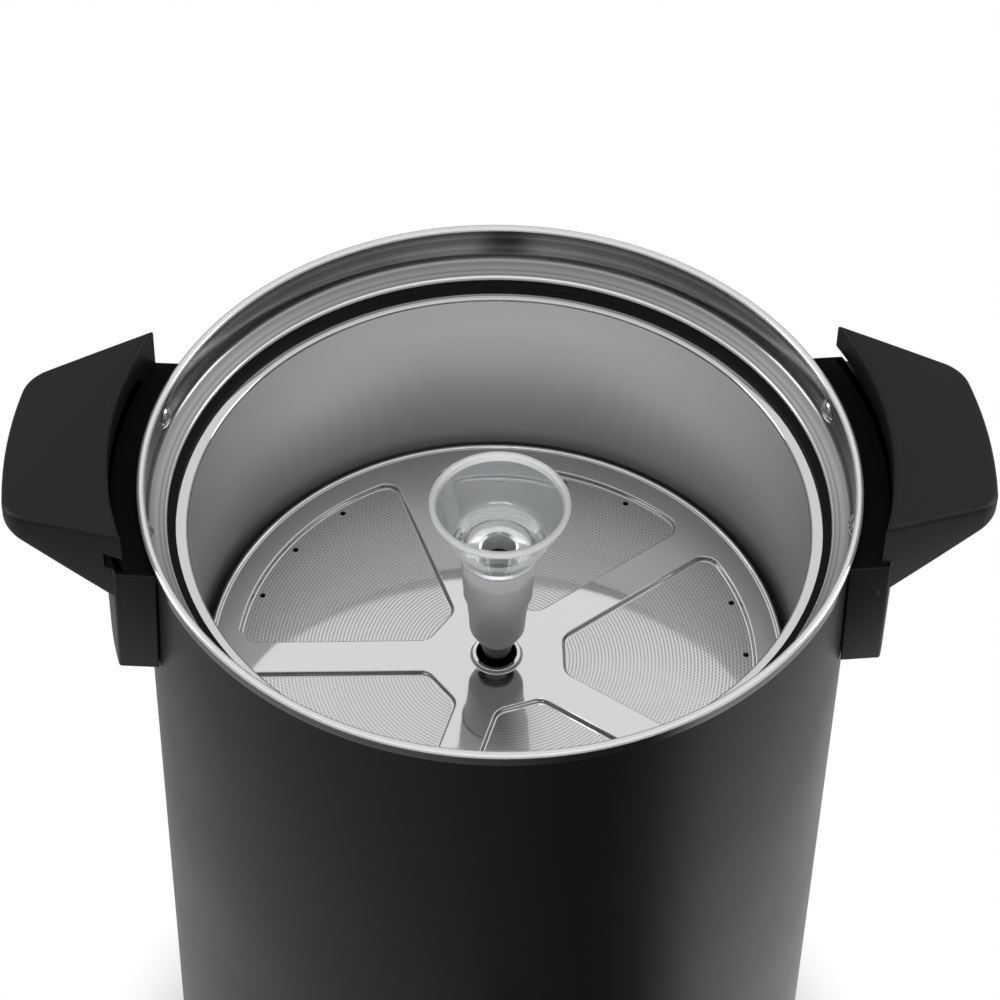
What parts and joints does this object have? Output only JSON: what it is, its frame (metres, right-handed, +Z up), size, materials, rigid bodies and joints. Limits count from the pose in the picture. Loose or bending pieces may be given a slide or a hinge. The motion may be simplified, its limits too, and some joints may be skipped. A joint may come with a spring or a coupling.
{
  "type": "percolator urn",
  "caption": "Open percolator urn for tea or coffee: black cylindrical shell, polished rim, steel tank, brew basket with cover, clear funnel on the stem, side handles and a lever tap.",
  "frame": {"origin": "on the table, on the urn's axis", "axes": "+Z up along the urn's axis, the tap towards -Y, the handles along X"},
  "size_m": [0.314, 0.3055, 0.3715],
  "materials": {
    "shell_coat": "satin black coating",
    "polished_steel": "mirror polished",
    "satin_steel": "satin drawn",
    "black_plastic": "fine moulded texture",
    "black_rubber": "matt",
    "silicone": "matt",
    "heater_alloy": "cast",
    "ceramic": "matt",
    "clear_plastic": "clear moulded",
    "amber_lens": "clear amber",
    "lead_red": "extruded",
    "lead_blue": "extruded",
    "lead_grey": "extruded"
  },
  "bodies": {
    "urn": {"outer_shell": "shell_coat", "rim_collar": "polished_steel", "tank_gasket": "black_rubber", "inner_tank": "satin_steel", "handle_right": "black_plastic", "handle_left": "black_plastic", "handle_rivets": "polished_steel", "handle_screws": "satin_steel", "heat_well": "satin_steel", "well_gasket": "silicone", "well_nut": "satin_steel", "perk_heater": "heater_alloy", "warm_heater": "heater_alloy", "thermostat": "ceramic", "thermal_cutout": "ceramic", "tank_posts": "satin_steel", "base_ring": "black_plastic", "base_plate": "shell_coat", "base_screws": "satin_steel", "feet": "black_rubber", "power_inlet": "black_plastic", "inlet_pins": "satin_steel", "switch_housing": "black_plastic", "ready_lens": "amber_lens", "ready_lamp": "ceramic", "lead_live": "lead_red", "lead_neutral": "lead_blue", "lead_element": "lead_grey", "tap_body": "black_plastic", "tap_saddle": "black_rubber", "tap_spacer": "black_plastic", "tap_seal": "silicone", "tap_nut": "black_plastic", "tap_bonnet": "black_plastic", "tap_spring": "satin_steel"},
    "stem": {"perc_stem": "polished_steel", "pump_foot": "satin_steel"},
    "washer": {"pump_washer": "satin_steel"},
    "basket": {"brew_basket": "satin_steel"},
    "cover": {"basket_cover": "polished_steel"},
    "funnel": {"clear_funnel": "clear_plastic"},
    "valve": {"valve_rod": "satin_steel", "valve_seal": "silicone", "lever_pin": "polished_steel"},
    "lever": {"tap_lever": "black_plastic"},
    "rocker": {"switch_rocker": "black_plastic"}
  },
  "joints": [
    {"name": "stem_lift", "type": "slide", "parent": "urn", "child": "stem", "axis": [0, 0, 1], "range_m": [0, 0.31]},
    {"name": "washer_lift", "type": "slide", "parent": "stem", "child": "washer", "axis": [0, 0, 1], "range_m": [0, 0.003]},
    {"name": "basket_lift", "type": "slide", "parent": "stem", "child": "basket", "axis": [0, 0, 1], "range_m": [0, 0.16]},
    {"name": "cover_lift", "type": "slide", "parent": "basket", "child": "cover", "axis": [0, 0, 1], "range_m": [0, 0.12]},
    {"name": "funnel_lift", "type": "slide", "parent": "cover", "child": "funnel", "axis": [0, 0, 1], "range_m": [0, 0.08]},
    {"name": "valve_lift", "type": "slide", "parent": "urn", "child": "valve", "axis": [0, 0, 1], "range_m": [0, 0.004], "stiffness_N_per_m": 300, "springref_m": -0.005, "deforming": ["tap_spring"]},
    {"name": "lever_press", "type": "hinge", "parent": "valve", "child": "lever", "pos_m": [0, -0.1411, 0.133], "axis": [1, 0, 0], "range_deg": [0, 40]},
    {"name": "switch_rock", "type": "hinge", "parent": "urn", "child": "rocker", "pos_m": [-0.016, -0.1171, 0.025], "axis": [0, 0, 1], "range_deg": [0, 16]}
  ],
  "couplings": [
    {"joint": "lever_press", "follows": "valve_lift", "rad_per_m": 174.53}
  ]
}
